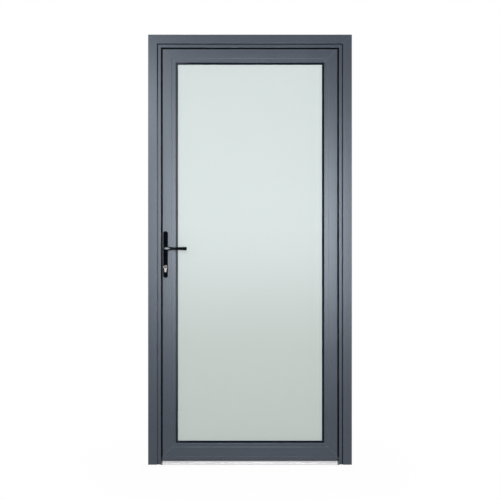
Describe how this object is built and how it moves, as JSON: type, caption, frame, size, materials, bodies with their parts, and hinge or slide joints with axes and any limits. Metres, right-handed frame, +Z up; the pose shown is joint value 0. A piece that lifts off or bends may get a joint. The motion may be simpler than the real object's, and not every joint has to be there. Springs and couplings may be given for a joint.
{
  "type": "glazed aluminium entrance door",
  "caption": "Aluminium entrance door in its frame: one full frosted pane in a mitred slate-grey leaf, black lever on a long plate, profile cylinder and a low silver threshold.",
  "frame": {"origin": "bottom centre of the frame, on the floor, at the middle of the leaf's depth", "axes": "+Z up, +X to the hinge side seen from the viewed face, +Y into the room that the leaf opens to"},
  "size_m": [0.99, 0.177, 2.09],
  "materials": {
    "slate_coating": "satin slate-grey powder coat on aluminium",
    "anodised_silver": "silver anodised, matt",
    "black_seal": "matt black extruded seal",
    "black_polyamide": "glass-filled insulating strip",
    "grey_plastic": "moulded, matt",
    "frosted_glass": "acid-etched, translucent",
    "clear_glass": "clear float",
    "spacer_bar": "mill, sealed edge",
    "cast_aluminium": "as cast",
    "black_metal": "satin black coat on zinc",
    "nickel": "matt nickel on brass",
    "stainless": "brushed",
    "zinc_steel": "zinc plated",
    "white_plastic": "moulded bush, natural"
  },
  "bodies": {
    "frame": {"frame_lock_jamb_outer": "slate_coating", "frame_lock_jamb_inner": "slate_coating", "frame_hinge_jamb_outer": "slate_coating", "frame_hinge_jamb_inner": "slate_coating", "frame_head_outer": "slate_coating", "frame_head_inner": "slate_coating", "frame_insulating_strips": "black_polyamide", "frame_corner_cleats": "cast_aluminium", "frame_stop_gasket": "black_seal", "threshold_outer": "anodised_silver", "threshold_core": "black_polyamide", "threshold_inner": "anodised_silver", "threshold_end_blocks": "grey_plastic", "strike_plate": "stainless", "frame_hardware_screws": "zinc_steel", "hinge_frame_top": "slate_coating", "hinge_frame_middle": "slate_coating", "hinge_frame_bottom": "slate_coating", "hinge_pins": "stainless"},
    "leaf": {"leaf_lock_stile_outer": "slate_coating", "leaf_lock_stile_inner": "slate_coating", "leaf_hinge_stile_outer": "slate_coating", "leaf_hinge_stile_inner": "slate_coating", "leaf_top_rail_outer": "slate_coating", "leaf_top_rail_inner": "slate_coating", "leaf_bottom_rail_outer": "slate_coating", "leaf_bottom_rail_inner": "slate_coating", "leaf_insulating_strips": "black_polyamide", "leaf_corner_cleats": "cast_aluminium", "drip_profile": "slate_coating", "bottom_brush_seal": "black_seal", "glass_outer_pane": "frosted_glass", "glass_inner_pane": "clear_glass", "glass_spacer": "spacer_bar", "glazing_beads_upright": "slate_coating", "glazing_beads_level": "slate_coating", "glazing_gasket_outer": "black_seal", "glazing_gasket_inner": "black_seal", "setting_blocks": "grey_plastic", "lock_case": "zinc_steel", "lock_faceplate": "stainless", "lock_screws": "zinc_steel", "cylinder_body": "nickel", "handle_plate_outside": "black_metal", "handle_plate_inside": "black_metal", "handle_screws": "zinc_steel", "hinge_leaf_top": "slate_coating", "hinge_leaf_middle": "slate_coating", "hinge_leaf_bottom": "slate_coating", "hinge_bushes": "white_plastic", "hinge_leaf_screws": "zinc_steel", "latch_spring": "zinc_steel"},
    "handle": {"lever_outside": "black_metal", "lever_inside": "black_metal", "spindle": "zinc_steel", "follower": "zinc_steel"},
    "latch": {"latch_bolt": "nickel"},
    "deadbolt": {"deadbolt": "nickel"},
    "key_cylinder": {"cylinder_plugs": "nickel", "cylinder_cam": "zinc_steel"}
  },
  "joints": [
    {"name": "leaf_swing", "type": "hinge", "parent": "frame", "child": "leaf", "pos_m": [0.4485, 0.0435, 1.045], "axis": [0, 0, -1], "range_deg": [0, 110]},
    {"name": "handle_turn", "type": "hinge", "parent": "leaf", "child": "handle", "pos_m": [-0.41, 0, 1.05], "axis": [0, 1, 0], "range_deg": [0, 40], "stiffness_Nm_per_rad": 1.5, "springref_deg": -22.92},
    {"name": "latch_slide", "type": "slide", "parent": "leaf", "child": "latch", "axis": [1, 0, 0], "range_m": [0, 0.012], "deforming": ["latch_spring"]},
    {"name": "cylinder_turn", "type": "hinge", "parent": "leaf", "child": "key_cylinder", "pos_m": [-0.41, 0, 0.96], "axis": [0, 1, 0], "range_deg": [0, 360]},
    {"name": "deadbolt_slide", "type": "slide", "parent": "leaf", "child": "deadbolt", "axis": [-1, 0, 0], "range_m": [0, 0.02]}
  ],
  "couplings": [
    {"joint": "latch_slide", "follows": "handle_turn", "m_per_rad": 0.01718},
    {"joint": "cylinder_turn", "follows": "deadbolt_slide", "rad_per_m": 314.16}
  ]
}
